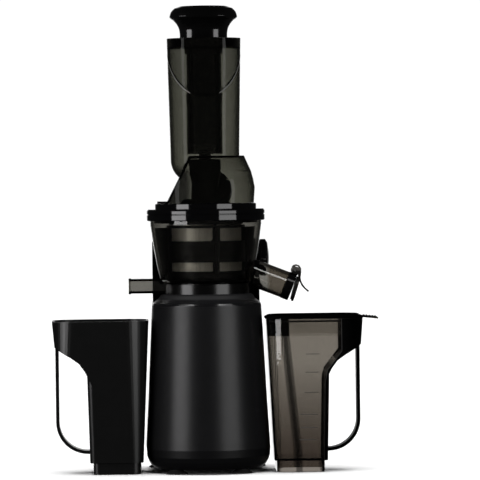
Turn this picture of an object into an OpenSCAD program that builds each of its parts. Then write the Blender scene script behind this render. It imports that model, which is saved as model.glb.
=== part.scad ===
// Cold press juicer: a motor base with a rear column, a lift-off pressing bowl with its
// strainer, auger and rotating wiper, a clear hopper with a feed insert and pusher,
// an open pulp container on the left and a lidded juice jug on the right.
// The origin is the drive axis on the surface that the juicer stands on; -Y is the front.

/* [Base] */
// Half width of the base at its widest
base_r = 66.3; // [64:0.1:67]
// Half width of the base under its shoulder
neck_r = 58.2; // [56:0.1:59]
// Height of the deck that the bowl stands on
deck_z = 187; // [185:0.5:188]
// Distance from the drive axis to where the rear corners begin
rear_y = 72; // [66:1:84]
// Wall thickness of the housing
shell_t = 2.8; // [2:0.1:3]
// Height of the seam between housing and bottom pan
seam_z = 25; // [24:0.5:27]

/* [Column] */
// Height of the column behind the bowl
column_z = 250; // [244:1:252]
// Radius of the hollow front of the column
column_hollow_r = 62.5; // [62:0.5:66]
// Radius of the control dial
dial_r = 19.3; // [14:0.1:20]
// Height of the dial's axis
dial_z = 227; // [220:1:228]
// Distance of the dial's axis behind the drive axis
dial_y = 56; // [54:1:58]

/* [Gears] */
// Distance from the drive axis to the layshaft
layshaft_y = 27; // [27:1:27]
// Teeth of the motor pinion and of the layshaft pinion
pinion_teeth = 12; // [12:1:12]
// Teeth of the layshaft wheel
wheel_teeth = 42; // [42:1:42]
// Teeth of the output gear and of the auger gear
output_teeth = 24; // [24:1:24]
// Teeth of the wiper ring
ring_teeth = 48; // [48:1:48]

/* [Bowl] */
// Outer radius of the bowl at its rim
bowl_rim_r = 59.5; // [58:0.1:60]
// Outer radius of the bowl at its floor
bowl_floor_r = 49.3; // [48:0.1:51]
// Wall thickness of the bowl
bowl_t = 2.6; // [2:0.1:3]
// Outer radius of the juice spout
spout_r = 14.5; // [13:0.1:15]
// Slope of the juice spout below the level
spout_slope = 21.5; // [18:0.5:23]

/* [Lid and hopper] */
// Outer radius of the lid collar
collar_r = 63.2; // [62.5:0.1:66]
// Outer radius of the hopper at its mouth
hopper_r = 39.6; // [38:0.1:41]
// Height of the hopper's mouth
hopper_z = 462.6; // [440:0.2:470]
// Wall thickness of the hopper
hopper_t = 3; // [2.5:0.1:3.2]
// Height of the hopper's slanted edge at the drive axis
slant_z = 447; // [443:1:449]
// Slope of the hopper's slanted edge, rising to the rear
slant_angle = 51.5; // [48:0.5:53]

/* [Pusher] */
// Radius of the pusher's knob
knob_r = 36.4; // [30:0.1:38]
// Clear gap between the guide tube's bore and the pusher's stem
stem_gap = 0.5; // [0.3:0.1:1]

/* [Vessels] */
// Height of the rim of the two vessels
vessel_z = 162.5; // [155:0.5:164]
// Depth of the vessels from front to back
vessel_depth = 88; // [80:1:100]
// Wall thickness of the vessels
vessel_t = 2.4; // [2:0.1:3]
// Radius of the vessels' upright corners at the rim
rim_corner_r = 24; // [16:1:26]
// Radius of the vessels' upright corners at the foot
foot_corner_r = 9; // [8:1:14]
// Radius of the vessels' upright corners beside the handle
edge_corner_r = 6; // [4:0.5:8]

/* [Hidden] */
$fn = 96;
fit = 0.05;
gap = 0.3;
eps = 0.01;

column_r = neck_r - 0.8;
corner_x = 30;
foot_spots = [[-34.5, -39], [34.5, -39], [-52, 75], [52, 75]];
pan_bottom_z = 4.5;
cord_z = 42;
cord_hole_r = 6;

shaft_r = 4;
bolt_r = 42;
drive_r = 6;
hex_z = 220.4;
drive_top_z = 240;
gearbox_y = 13.5;
gearbox_r = 40;
gearbox_z = 100;
cover_z = 128;
ear_spots = [[45, gearbox_y], [-45, gearbox_y], [0, gearbox_y - 45]];

dock_r = 46;
dock_top_z = 200.6;
floor_z = 204;
bowl_top_z = 274;
gear_z = 205.2;
gear_h = 5;
wiper_gear_module = 1.25;
wiper_pinion_y = wiper_gear_module * (output_teeth + pinion_teeth) / 2;
wiper_r = 42;
wiper_top_z = 263.2;
window_turn = -76.4;
mesh_r = 38;
plate_z = 211.6;
auger_neck_r = 16.8;

spout_end = [91.5, 195.3];
spout_ring_l = 8.5;
cap_pivot = [94.6, 213.7];
cap_open = 4;
cap_r = 14.3;

chamber_z = 286.8;
chamber_top_z = 337;
chamber_slope_bottom_x = -41.8;
chamber_slope_top_x = -17;
insert_z = 452.8;
tube_r = 18.6;
tube_bore_r = 15.2;
tube_bottom_z = 339.2;
knob_z = 463;

// Outline of the housing: half width and height, from the seam to the deck
shell_profile = [[base_r, seam_z], [base_r - 0.4, 33], [base_r - 2.9, 76], [base_r - 5.5, 130],
  [neck_r + 0.4, 172], [neck_r + 0.1, 178.2], [neck_r - 0.6, 180], [neck_r - 2.2, 181.2], [49, deck_z]];
shell_inner = [[base_r - shell_t, seam_z - eps], [base_r - 2.9 - shell_t, 76], [base_r - 5.5 - shell_t, 130],
  [neck_r - shell_t, 174], [neck_r - 1.4 - shell_t, 179], [50, deck_z - shell_t]];
pan_profile = [[57, pan_bottom_z], [61.4, 8], [63.9, 12], [base_r - 0.6, 17], [base_r, seam_z]];
pan_inner = [[56, pan_bottom_z + 3], [59.6, 11], [base_r - 3.6, 17], [base_r - shell_t, seam_z + eps]];
column_profile = [[neck_r + 0.1, 178.2], [column_r, 181], [column_r, column_z - 6], [column_r - 1.9, column_z - 1.6],
  [column_r - 5.4, column_z]];
column_inner = [[neck_r - shell_t, 174], [column_r - shell_t, 180], [column_r - shell_t, column_z - 7],
  [column_r - shell_t - 4, column_z - shell_t]];
// At the rear the housing runs straight on into the column
rear_profile = concat([for (i = [0:4]) shell_profile[i]], column_profile);
rear_inner = concat([for (i = [0:2]) shell_inner[i]], column_inner);

// Involute angle, in degrees
function inv(a) = tan(a) * 180 / PI - a;

// One flank point of a gear: radius and the tooth's half angle there
function flank(m, n, r, slack) =
  let (pr = m * n / 2, base = pr * cos(25), a = acos(min(1, base / max(r, base))))
  90 / n - slack * 90 / (PI * pr) + inv(25) - inv(a);

// Outline of a spur gear with involute flanks; slack thins each tooth
function gear_points(m, n, tip, root, slack) =
  let (pr = m * n / 2, rs = [pr - root, pr - root * 0.35, pr + tip * 0.35, pr + tip])
  [for (i = [0:n - 1]) let (c = i * 360 / n)
    each concat(
      [for (r = rs) let (h = flank(m, n, r, slack)) [r * cos(c - h), r * sin(c - h)]],
      [for (k = [3:-1:0]) let (r = rs[k], h = flank(m, n, r, slack)) [r * cos(c + h), r * sin(c + h)]])];

// Closed outline of a strip of thickness t along a path
function strip_points(path, t) =
  let (n = len(path), normals = [for (i = [0:n - 1])
    let (d = path[min(i + 1, n - 1)] - path[max(i - 1, 0)]) [-d[1], d[0]] / norm(d) * t / 2])
  concat([for (i = [0:n - 1]) path[i] + normals[i]], [for (i = [n - 1:-1:0]) path[i] - normals[i]]);

function arc_points(center, r, from, to, steps) =
  [for (i = [0:steps]) let (a = from + (to - from) * i / steps) center + r * [cos(a), sin(a)]];

module gear(m, n, h, bore, slack = 0.12) {
  linear_extrude(h) difference() {
    polygon(gear_points(m, n, m * 0.9, m * 1.2, slack));
    circle(bore);
  }
}

module ring(outer, inner, h) {
  difference() {
    cylinder(h = h, r = outer);
    translate([0, 0, -1]) cylinder(h = h + 2, r = inner);
  }
}

module lathe(points) {
  rotate_extrude() polygon(points);
}

// A flat outline in x and z, made solid across y
module slab_xz(depth) {
  rotate([90, 0, 0]) linear_extrude(depth, center = true) children();
}

module at_each(spots) {
  for (s = spots) translate([s[0], s[1], 0]) children();
}

// The plan is round in front and straight at the sides; profile gives half width and height
module plan_front(profile) {
  z0 = profile[0][1];
  z1 = profile[len(profile) - 1][1];
  rotate([0, 0, 180]) rotate_extrude(angle = 180) polygon(concat([[0, z0]], profile, [[0, z1]]));
  translate([0, rear_y, 0]) rotate([90, 0, 0]) linear_extrude(rear_y)
    polygon(concat(profile, [for (i = [len(profile) - 1:-1:0]) [-profile[i][0], profile[i][1]]]));
}

// The rear of the plan, with two rounded corners and a flat back
module plan_rear(profile) {
  z0 = profile[0][1];
  z1 = profile[len(profile) - 1][1];
  inset = concat([[0, z0]], [for (p = profile) [p[0] - corner_x, p[1]]], [[0, z1]]);
  translate([corner_x, rear_y, 0]) rotate_extrude(angle = 90) polygon(inset);
  translate([-corner_x, rear_y, 0]) rotate([0, 0, 90]) rotate_extrude(angle = 90) polygon(inset);
  translate([-corner_x, rear_y, 0]) rotate([90, 0, 90]) linear_extrude(2 * corner_x) polygon(inset);
}

// Leaves only what stands behind the bowl
module behind_bowl(r) {
  difference() {
    children();
    translate([0, 0, 170]) cylinder(h = 90, r = r);
    translate([-70, -70, 170]) cube([140, 70, 90]);
  }
}

// Housing
module body_shell() {
  color([0.09, 0.09, 0.1]) difference() {
    union() {
      difference() {
        union() {
          plan_front(shell_profile);
          behind_bowl(column_hollow_r) plan_front(column_profile);
        }
        plan_front(shell_inner);
        behind_bowl(column_hollow_r + shell_t) plan_front(column_inner);
      }
      // Posts that carry the gearbox, and bosses for the pan screws
      at_each(ear_spots) translate([0, 0, cover_z + 3]) cylinder(h = deck_z - cover_z - 4, r = 4.5);
      for (s = [-1, 1]) translate([s * 52, 12, seam_z]) {
        cylinder(h = 20, r = 4.5);
        translate([s > 0 ? 0 : -12.4, -1.5, 0]) cube([12.4, 3, 20]);
      }
      translate([0, 0, deck_z - 9]) cylinder(h = 9, r = 16);
      // Lip round the dock ring
      lathe([[46.4, deck_z - 1], [51.5, deck_z - 2.1], [49.8, deck_z + 1.4], [47.2, deck_z + 2.9],
        [46.4, deck_z + 2.9]]);
    }
    translate([0, 0, deck_z - 10]) cylinder(h = 12, r = 12.5);
    at_each(ear_spots) translate([0, 0, cover_z]) cylinder(h = 18, r = 2);
    for (s = [-1, 1]) translate([s * 52, 12, seam_z - 1]) cylinder(h = 18, r = 1.6);
    // Hole for the dial's spindle
    translate([40, dial_y, dial_z]) rotate([0, 90, 0]) cylinder(h = 30, r = 3.5);
  }
}

module rear_cover() {
  vent_w = 44;
  color([0.09, 0.09, 0.1]) difference() {
    union() {
      difference() {
        plan_rear(rear_profile);
        plan_rear(rear_inner);
      }
      for (s = [-1, 1]) {
        translate([s * 30, 92, seam_z]) cylinder(h = 20, r = 4.5);
        translate([s * 28 - 1.5, 92, seam_z]) cube([3, 14.4, 20]);
        // Studs that hold the control board
        for (p = [[50, 15.6], [98, 13.6]]) translate([s * 24, 89.6, p[0]]) rotate([-90, 0, 0]) cylinder(h = p[1], r = 2.5);
      }
    }
    for (z = [62:7:104]) translate([-vent_w / 2, 85, z]) cube([vent_w, 30, 3]);
    for (s = [-1, 1]) translate([s * 30, 92, seam_z - 1]) cylinder(h = 18, r = 1.6);
    translate([0, 85, cord_z]) rotate([-90, 0, 0]) cylinder(h = 30, r = cord_hole_r);
  }
}

module bottom_pan() {
  color([0.07, 0.07, 0.08]) difference() {
    union() {
      difference() {
        union() {
          plan_front(pan_profile);
          plan_rear(pan_profile);
        }
        plan_front(pan_inner);
        plan_rear(pan_inner);
      }
      for (s = [-1, 1]) {
        translate([s * 52, 12, 6]) cylinder(h = seam_z - 6, r = 4.5);
        translate([s * 30, 92, 6]) cylinder(h = seam_z - 6, r = 4.5);
      }
    }
    at_each(foot_spots) translate([0, 0, -1]) cylinder(h = 12, r = 4);
    for (s = [-1, 1], p = [[52, 12], [30, 92]]) translate([s * p[0], p[1], 0]) {
      cylinder(h = 30, r = 2);
      cylinder(h = 12, r = 3.8);
    }
    for (y = [-24:8:24]) translate([-18, y, 0]) cube([36, 3, 12]);
  }
}

module dock_ring() {
  color([0.04, 0.04, 0.045]) difference() {
    union() {
      translate([0, 0, deck_z]) ring(44, 41, 2);
      translate([0, 0, deck_z + 1.6]) ring(dock_r, 41, dock_top_z - deck_z - 1.6);
    }
    translate([-60, -15, deck_z + 2.2]) cube([50, 30, 20]);
  }
}

module suction_feet() {
  color([0.05, 0.05, 0.05]) at_each(foot_spots) lathe([[0, 3.2], [5.5, 2.6], [9.2, 0], [11.3, 0], [11.3, 0.8],
    [7, 3.4], [6, pan_bottom_z - 0.1], [3.9, pan_bottom_z - 0.1], [3.9, 9], [1.6, 9], [1.6, 5], [0, 5]]);
}

module foot_screws() {
  color("silver") at_each(foot_spots) {
    translate([0, 0, 5.2]) cylinder(h = 4, r = 1.55);
    translate([0, 0, 9]) cylinder(h = 2.2, r = 5);
  }
}

module pan_screws() {
  color("silver") for (s = [-1, 1], p = [[52, 12], [30, 92]]) translate([s * p[0], p[1], 0]) {
    translate([0, 0, 9]) cylinder(h = 3, r = 3.4);
    translate([0, 0, 11]) cylinder(h = 27, r = 1.55);
  }
}

// Motor
module bell(z, rim_up) {
  translate([0, 0, z]) ring(46, 11, 4);
  translate([0, 0, z - 1.5]) ring(14, 11, 7);
  translate([0, 0, rim_up ? z + 4 - eps : z - 10 + eps]) ring(38, 35.5, 10);
}

module motor_bell_lower() {
  color([0.6, 0.6, 0.62]) difference() {
    bell(26, true);
    motor_bolt_holes();
  }
}

module motor_bell_upper() {
  color([0.6, 0.6, 0.62]) difference() {
    bell(90, false);
    motor_bolt_holes();
  }
}

module motor_bolt_holes() {
  for (a = [45:90:315]) rotate([0, 0, a]) translate([bolt_r, 0, 0]) cylinder(h = 120, r = 2.1);
}

module motor_bolts() {
  color("silver") for (a = [45:90:315]) rotate([0, 0, a]) translate([bolt_r, 0, 0]) {
    translate([0, 0, 23]) cylinder(h = 3, r = 3.6);
    translate([0, 0, 25]) cylinder(h = gearbox_z - 23, r = 2);
  }
}

module stator_core() {
  color([0.45, 0.46, 0.48]) translate([0, 0, 40]) difference() {
    ring(38, 27, 40);
    for (a = [0:30:330]) rotate([0, 0, a]) translate([31, 0, -1]) cylinder(h = 42, r = 2.6);
  }
}

module stator_windings() {
  color([0.72, 0.4, 0.2]) {
    for (z = [31, 80.4]) translate([0, 0, z]) ring(34, 27.6, 8.6);
    for (a = [0:30:330]) rotate([0, 0, a]) translate([31, 0, 39]) cylinder(h = 42, r = 2.4);
  }
}

module motor_bearings() {
  color([0.75, 0.75, 0.77]) for (z = [24.5, 88.5]) translate([0, 0, z]) ring(11, shaft_r + fit, 7);
}

module rotor_core() {
  color([0.4, 0.41, 0.43]) translate([0, 0, 41]) ring(26.4, shaft_r, 38);
}

module motor_shaft() {
  color([0.8, 0.8, 0.82]) translate([0, 0, 13]) cylinder(h = 99, r = shaft_r);
}

module motor_pinion() {
  color([0.8, 0.7, 0.4]) translate([0, 0, 105]) gear(1, pinion_teeth, 6.6, shaft_r);
}

module cooling_fan() {
  color([0.2, 0.2, 0.22]) translate([0, 0, 13]) {
    ring(8, shaft_r, 10);
    ring(34, 7.5, 1.6);
    for (a = [0:40:320]) rotate([0, 0, a]) translate([7.5, -0.8, 0]) rotate([0, 0, 12]) cube([24, 1.6, 9]);
  }
}

// Gearbox
module gearbox_case() {
  // Lugs under the front of the case reach out to the motor's bolts
  lug_turn = atan2(bolt_r * sin(45) + gearbox_y, bolt_r * cos(45));
  color([0.75, 0.75, 0.72]) difference() {
    translate([0, gearbox_y, gearbox_z]) difference() {
      union() {
        cylinder(h = cover_z - gearbox_z, r = gearbox_r);
        for (a = [-lug_turn, lug_turn - 180]) rotate([0, 0, a]) translate([gearbox_r - 3, -5, 0]) cube([20, 10, 4]);
      }
      translate([0, 0, 4]) cylinder(h = cover_z, r = gearbox_r - 3);
    }
    translate([0, 0, gearbox_z - 1]) cylinder(h = 8, r = 5);
    translate([0, layshaft_y, gearbox_z + 1]) cylinder(h = 8, r = 6);
    translate([0, 0, -1]) motor_bolt_holes();
  }
}

module gearbox_cover() {
  color([0.7, 0.7, 0.68]) difference() {
    union() {
      translate([0, gearbox_y, cover_z]) cylinder(h = 3, r = gearbox_r);
      at_each(ear_spots) translate([0, 0, cover_z]) cylinder(h = 3, r = 6);
      translate([0, 0, cover_z]) cylinder(h = 13, r = 16);
      translate([0, layshaft_y, cover_z - 3]) cylinder(h = 6, r = 8);
    }
    translate([0, 0, cover_z - 1]) cylinder(h = 20, r = 13);
    translate([0, layshaft_y, cover_z - 4]) cylinder(h = 6, r = 6);
    at_each(ear_spots) translate([0, 0, cover_z - 1]) cylinder(h = 5, r = 2.1);
  }
}

module gearbox_screws() {
  color("silver") at_each(ear_spots) {
    translate([0, 0, cover_z - 2.6]) cylinder(h = 2.6, r = 3.8);
    translate([0, 0, cover_z - 1]) cylinder(h = 17, r = 1.95);
  }
}

module layshaft() {
  color([0.8, 0.8, 0.82]) translate([0, layshaft_y, 101.5]) cylinder(h = 27.5, r = 3);
}

module layshaft_gear() {
  color([0.85, 0.84, 0.78]) translate([0, layshaft_y, 0]) {
    translate([0, 0, 105.3]) gear(1, wheel_teeth, 6, 3);
    translate([0, 0, 111.2]) gear(1.5, pinion_teeth, 12, 3);
  }
}

module layshaft_bushes() {
  color([0.75, 0.6, 0.3]) for (z = [101, cover_z - 4]) translate([0, layshaft_y, z]) ring(6, 3 + fit, 4);
}

module drive_shaft() {
  color([0.8, 0.8, 0.82]) {
    translate([0, 0, 114]) cylinder(h = hex_z - 114, r = drive_r);
    translate([0, 0, hex_z - eps]) cylinder(h = drive_top_z - hex_z + eps, r = drive_r - 0.2, $fn = 6);
  }
}

module output_gear() {
  color([0.85, 0.84, 0.78]) translate([0, 0, 114]) rotate([0, 0, 7.5]) gear(1.5, output_teeth, 9.2, drive_r);
}

module output_bearing() {
  color([0.75, 0.75, 0.77]) translate([0, 0, cover_z + 3]) ring(13, drive_r + fit, 9);
}

module shaft_seal() {
  color([0.06, 0.06, 0.06]) translate([0, 0, deck_z - 8]) ring(12.5, drive_r + fit, 9);
}

// Electrics
module control_board() {
  color([0.1, 0.35, 0.2]) translate([-28, 88, 46]) cube([56, 1.6, 58]);
  color([0.15, 0.15, 0.16]) translate([-20, 74, 70]) cube([16, 14, 22]);
  color([0.2, 0.3, 0.6]) translate([4, 78, 50]) cube([14, 10, 14]);
}

module run_capacitor() {
  color([0.85, 0.85, 0.82]) translate([-20, 72, 22]) rotate([0, 90, 0]) cylinder(h = 40, r = 11);
}

module selector_switch() {
  color([0.25, 0.25, 0.27]) difference() {
    translate([44.6, 51, dial_z - 8]) cube([9.9, 14, 16]);
    translate([40, dial_y, dial_z]) rotate([0, 90, 0]) cylinder(h = 20, r = 3 + fit);
  }
}

module cord_gland() {
  color([0.06, 0.06, 0.06]) translate([0, 0, cord_z]) rotate([-90, 0, 0]) difference() {
    union() {
      translate([0, 0, 97]) cylinder(h = 12, r = cord_hole_r - eps);
      translate([0, 0, 107.9]) cylinder(h = 2.6, r = 8.5);
    }
    translate([0, 0, 96]) cylinder(h = 18, r = 3.6);
  }
}

module control_dial() {
  color([0.03, 0.03, 0.035]) translate([0, dial_y, dial_z]) rotate([0, 90, 0]) {
    lathe([[0, 58], [dial_r - 1.5, 58], [dial_r, 59.2], [dial_r - 0.5, 65.6], [dial_r - 3, 67.2],
      [dial_r - 10, 68.5], [0, 69]]);
    translate([0, 0, 46]) cylinder(h = 13, r = 3);
    for (a = [0:20:340]) rotate([0, 0, a]) translate([dial_r - 0.6, -0.7, 59.6]) cube([1, 1.4, 5.6]);
  }
}

// Bowl
bowl_profile = [[bowl_floor_r - 1.4, 201], [bowl_floor_r - 0.2, 202.6], [bowl_floor_r, 205],
  [bowl_floor_r + 3.3, 219], [bowl_floor_r + 6.4, 236.7], [bowl_floor_r + 8.3, 250], [bowl_rim_r, 264],
  [bowl_rim_r, bowl_top_z]];

module bowl_solid() {
  lathe(concat([[0, 201]], bowl_profile, [[0, bowl_top_z]]));
}

module bowl_hollow() {
  lathe(concat([[0, floor_z], [bowl_floor_r - bowl_t - 1, floor_z]],
    [for (i = [2:7]) [bowl_profile[i][0] - bowl_t, bowl_profile[i][1] + (i == 7 ? 1 : i == 2 ? 1.2 : 0)]],
    [[0, bowl_top_z + 1]]));
}

// Lies along the spout's axis, with its end plane at zero length
module along_spout() {
  translate([spout_end[0], 0, spout_end[1]]) rotate([0, 90 + spout_slope, 0]) children();
}

// Straight way for the pulp, beside the drive
module pulp_hole(z, h) {
  translate([-26, -6, z]) cube([6.6, 12, h]);
}

module bowl() {
  channel_x = 82.5;
  color([0.16, 0.16, 0.16, 0.75]) difference() {
    union() {
      difference() {
        union() {
          bowl_solid();
          translate([0, 0, 193]) ring(40.4, 37.4, 9);
          translate([-channel_x, -14, 191]) cube([channel_x - 17, 28, 15.7]);
          translate([-channel_x - 0.9, -14.8, 190.4]) cube([2.6, 29.6, 16.9]);
          along_spout() translate([0, 0, -50]) cylinder(h = 50 - spout_ring_l, r = spout_r);
          along_spout() translate([0, 0, -spout_ring_l - 1]) cylinder(h = spout_ring_l + 1, r = 13.4);
        }
        bowl_hollow();
        // The spout starts outside the dock
        difference() {
          translate([0, -20, 180]) cube([dock_r + 0.6, 40, 21]);
          translate([0, 0, 192]) cylinder(h = 30, r = 40.4);
        }
      }
      translate([0, 0, 193]) ring(11.5, 8.5, 27);
      // Post of the wiper pinion
      translate([0, wiper_pinion_y, 203]) cylinder(h = 7.6, r = 2.5);
    }
    translate([0, 0, 190]) cylinder(h = 40, r = 8.5);
    along_spout() translate([0, 0, -42]) cylinder(h = 50, r = 12);
    translate([38, 0, floor_z + 9.4]) rotate([0, 90, 0]) cylinder(h = 18, r = 9);
    // Pulp channel with its inlet in the floor and its cleaning hole below
    translate([-channel_x - 3, -11.4, 193.6]) cube([channel_x + 3 - 19.4, 22.8, 7.4]);
    translate([-channel_x - 3, -11.4, 193.6]) cube([channel_x + 3 - 50, 22.8, 10.6]);
    pulp_hole(195, 12);
    translate([-38, -11.4, 188]) cube([9, 22.8, 7]);
  }
}

module bowl_seal() {
  color([0.3, 0.3, 0.3]) translate([0, 0, 202]) ring(8.5 - fit, drive_r + fit, 7);
}

module pulp_plug() {
  color([0.3, 0.3, 0.3]) {
    translate([-37.8, -11.2, 190.2]) cube([8.6, 22.4, 3.6]);
    translate([-36, -9, 193.7]) cube([5, 18, 1.2]);
  }
}

module spout_ring() {
  color([0.04, 0.04, 0.04]) difference() {
    union() {
      along_spout() translate([0, 0, -spout_ring_l + fit]) cylinder(h = spout_ring_l, r = spout_r + 0.3);
      slab_xz(8.6) difference() {
        union() {
          translate(cap_pivot) circle(3.2);
          polygon([cap_pivot + [-3.2, 0], cap_pivot + [3.1, 0.6], cap_pivot + [2.4, -6], cap_pivot + [-5.5, -5]]);
        }
        translate(cap_pivot) circle(1.25);
      }
    }
    along_spout() translate([0, 0, -20]) cylinder(h = 30, r = 13.4 + fit);
  }
}

module cap_pin() {
  color("silver") translate([cap_pivot[0], 0, cap_pivot[1]]) rotate([90, 0, 0])
    cylinder(h = 16.4, r = 1.2, center = true);
}

// In the cap's own frame the pivot is the origin and the closed face is upright
module in_cap_frame() {
  translate([cap_pivot[0], 0, cap_pivot[1]]) rotate([0, spout_slope - cap_open, 0]) children();
}

cap_inner_u = 4.2;
cap_center_v = -18.25;

module spout_cap() {
  lever = [[-2.6, 2.9], [-1.2, 4.7], [1.4, 5.4], [4.2, 4.5], [5.9, 1.6], [5.8, -3], [5.2, -7.5], [5.7, -11.5],
    [7.4, -15.4], [10.2, -19.2], [14.4, -22.8]];
  color([0.05, 0.05, 0.05]) difference() {
    union() {
      in_cap_frame() translate([cap_inner_u + 1.2, 0, cap_center_v]) rotate([0, 90, 0]) cylinder(h = 2.4, r = cap_r);
      translate([cap_pivot[0], 0, cap_pivot[1]]) {
        slab_xz(10) polygon(strip_points(lever, 1.8));
        for (s = [-1, 1]) translate([0, s * 6.1, 0]) slab_xz(2.4) {
          circle(4);
          polygon([[-1, 1], [3, 3.4], [6.2, 1.6], [6.4, -6], [3.6, -6.5], [2.8, -4], [0.2, -2.4]]);
        }
      }
    }
    translate([cap_pivot[0], 0, cap_pivot[1]]) rotate([90, 0, 0]) cylinder(h = 30, r = 1.2 + fit, center = true);
    // Room for the hinge lug
    translate([cap_pivot[0], 0, cap_pivot[1]]) slab_xz(9.8) {
      circle(3.9);
      polygon([[-6, 1.5], [3.9, 1.5], [3.9, -5], [2.2, -9], [-6, -9]]);
    }
    in_cap_frame() translate([0, -20, -40]) cube([cap_inner_u - gap, 40, 35.5]);
  }
}

module cap_gasket() {
  color([0.35, 0.35, 0.35]) in_cap_frame() translate([cap_inner_u, 0, cap_center_v]) rotate([0, 90, 0])
    cylinder(h = 1.2, r = 12.8);
}

// Strainer, wiper and auger
module strainer_frame() {
  color([0.08, 0.08, 0.09]) difference() {
    union() {
      translate([0, 0, plate_z]) ring(mesh_r, 17.4, 2.6);
      translate([0, 0, wiper_top_z + 0.8]) ring(mesh_r + 1.6, mesh_r - 1, 2.6);
      translate([0, 0, wiper_top_z + 2.4]) ring(55.2, mesh_r - 1, 2.4);
      for (k = [0:3]) rotate([0, 0, window_turn + 90 * k]) translate([mesh_r - 1.6, -1.5, plate_z + 2])
        cube([1.5, 3, wiper_top_z - plate_z - 0.6]);
      // Short chute from the pulp hole down to the bowl's floor
      translate([-27.2, -7.2, floor_z + 0.3]) cube([9, 14.4, plate_z - floor_z + 1]);
    }
    pulp_hole(floor_z - 1, 14);
  }
}

module strainer_mesh() {
  color([0.75, 0.73, 0.7]) difference() {
    translate([0, 0, plate_z + 2.6]) ring(mesh_r, mesh_r - 1, wiper_top_z - plate_z - 1.8);
    for (k = [0:3]) rotate([0, 0, window_turn + 90 * k]) translate([mesh_r - 3, -1.5, plate_z + 2]) cube([5, 3, 60]);
  }
}

module wiper_pinion() {
  color([0.85, 0.84, 0.78]) translate([0, wiper_pinion_y, gear_z]) rotate([0, 0, 15])
    gear(wiper_gear_module, pinion_teeth, gear_h - 0.4, 2.5 + fit);
}

// A window round a quarter of the ring, its lower corners rounded
module wiper_window(z, h) {
  half = 40.5;
  corner = 3.5;
  turn = 5;
  translate([0, 0, z]) {
    rotate([0, 0, turn - half]) rotate_extrude(angle = 2 * (half - turn)) translate([wiper_r - 5, 0]) square([8, h]);
    for (m = [0, 1]) mirror([0, m, 0]) rotate([0, 0, half - turn]) translate([wiper_r - 5, 0, 0]) rotate([90, 0, 90])
      linear_extrude(8) {
        translate([-2, 0]) square([2, h]);
        translate([-2, corner]) square([2 + corner, h - corner]);
        translate([0, corner]) circle(corner);
      }
  }
}

module wiper_ring() {
  color([0.06, 0.06, 0.065]) difference() {
    translate([0, 0, gear_z]) lathe([[wiper_r - 14, 0], [wiper_r, 0], [wiper_r, wiper_top_z - gear_z],
      [wiper_r - 2, wiper_top_z - gear_z], [wiper_r - 2, gear_h], [wiper_r - 14, gear_h]]);
    translate([0, 0, gear_z - 1]) rotate([0, 0, 3.75]) linear_extrude(gear_h + 2)
      polygon(gear_points(wiper_gear_module, ring_teeth, wiper_gear_module * 1.2, wiper_gear_module * 0.9, -0.12));
    for (k = [0:3]) rotate([0, 0, window_turn + 45 + 90 * k]) {
      wiper_window(246.5, 14);
      wiper_window(213, 11);
    }
  }
}

module wiper_blades() {
  color([0.35, 0.35, 0.36]) for (k = [0:3]) rotate([0, 0, window_turn + 90 * k]) {
    translate([mesh_r + 0.5, -1, 214.4]) cube([1.48, 2, 47]);
    translate([wiper_r + 0.01, 0, 0]) slab_xz(2) polygon([[0, 212], [5, 212], [9.9, 236], [12, 250], [13.3, 261],
      [0, 261]]);
  }
}

module auger_envelope() {
  rotate_extrude($fn = 48) polygon([[0, 216], [36.4, 216], [36.4, 262], [30, 270], [27, 284], [28.7, 300],
    [27.2, 309], [22.5, 316.5], [auger_neck_r, 321], [0, 321]]);
}

// Two close flights that press, and a steep one above them that draws the food in
module auger() {
  color([0.05, 0.05, 0.055]) difference() {
    union() {
      rotate_extrude($fn = 48) polygon([[0, 214.6], [18.9, 214.6], [18.9, 220], [24, 236], [25, 245], [19, 266],
        [15.5, 290], [14.5, 308], [auger_neck_r, 318], [auger_neck_r, 332], [auger_neck_r - 1.2, 333.2], [0, 333.2]]);
      intersection() {
        auger_envelope();
        union() {
          translate([0, 0, 215.4]) linear_extrude(76, twist = -400, slices = 46, $fn = 8)
            for (a = [0, 180]) rotate(a) translate([8, -2]) square([29, 4]);
          translate([0, 0, 284]) rotate([0, 0, -52]) linear_extrude(38, twist = -104, slices = 20, $fn = 8)
            translate([6, -6]) square([24, 12]);
        }
      }
    }
    translate([0, 0, 214]) cylinder(h = 31.4, r = 16.7, $fn = 48);
    translate([0, 0, 318]) cylinder(h = 20, r = 3.3, $fn = 48);
    translate([0, 0, 328.8]) cylinder(h = 10, r = 7.6, $fn = 48);
  }
}

module auger_hub() {
  color([0.7, 0.7, 0.72]) difference() {
    union() {
      translate([0, 0, gear_z]) gear(wiper_gear_module, output_teeth, gear_h, 11.9);
      translate([0, 0, gear_z + gear_h - eps]) cylinder(h = 245 - gear_z - gear_h, r = 16.3);
    }
    translate([0, 0, 204]) cylinder(h = hex_z + 0.4 - 204, r = 11.9);
    translate([0, 0, 220]) cylinder(h = 22, r = drive_r + 0.05, $fn = 6);
  }
}

module auger_pin() {
  color([0.8, 0.8, 0.82]) translate([0, 0, 318]) cylinder(h = 25.5, r = 3);
}

// Lid
module lid_ring() {
  // A groove runs round the collar
  color([0.03, 0.03, 0.035]) lathe([[60, 268], [collar_r - 0.8, 268], [collar_r, 268.8], [collar_r, 274.2],
    [collar_r - 0.8, 274.4], [collar_r - 0.8, 275.2], [collar_r, 275.4], [collar_r, 278.6], [collar_r - 1.2, 280.4], [54.3, 280.6], [54.3, 285.8], [53.4, 286.5], [45, 286.5], [45, 277.2], [60, 277.2]]);
}

module lid_seal() {
  color([0.4, 0.4, 0.4]) translate([0, 0, 270]) ring(bowl_rim_r - bowl_t - gap, 53.4, 7.2);
}

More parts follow.
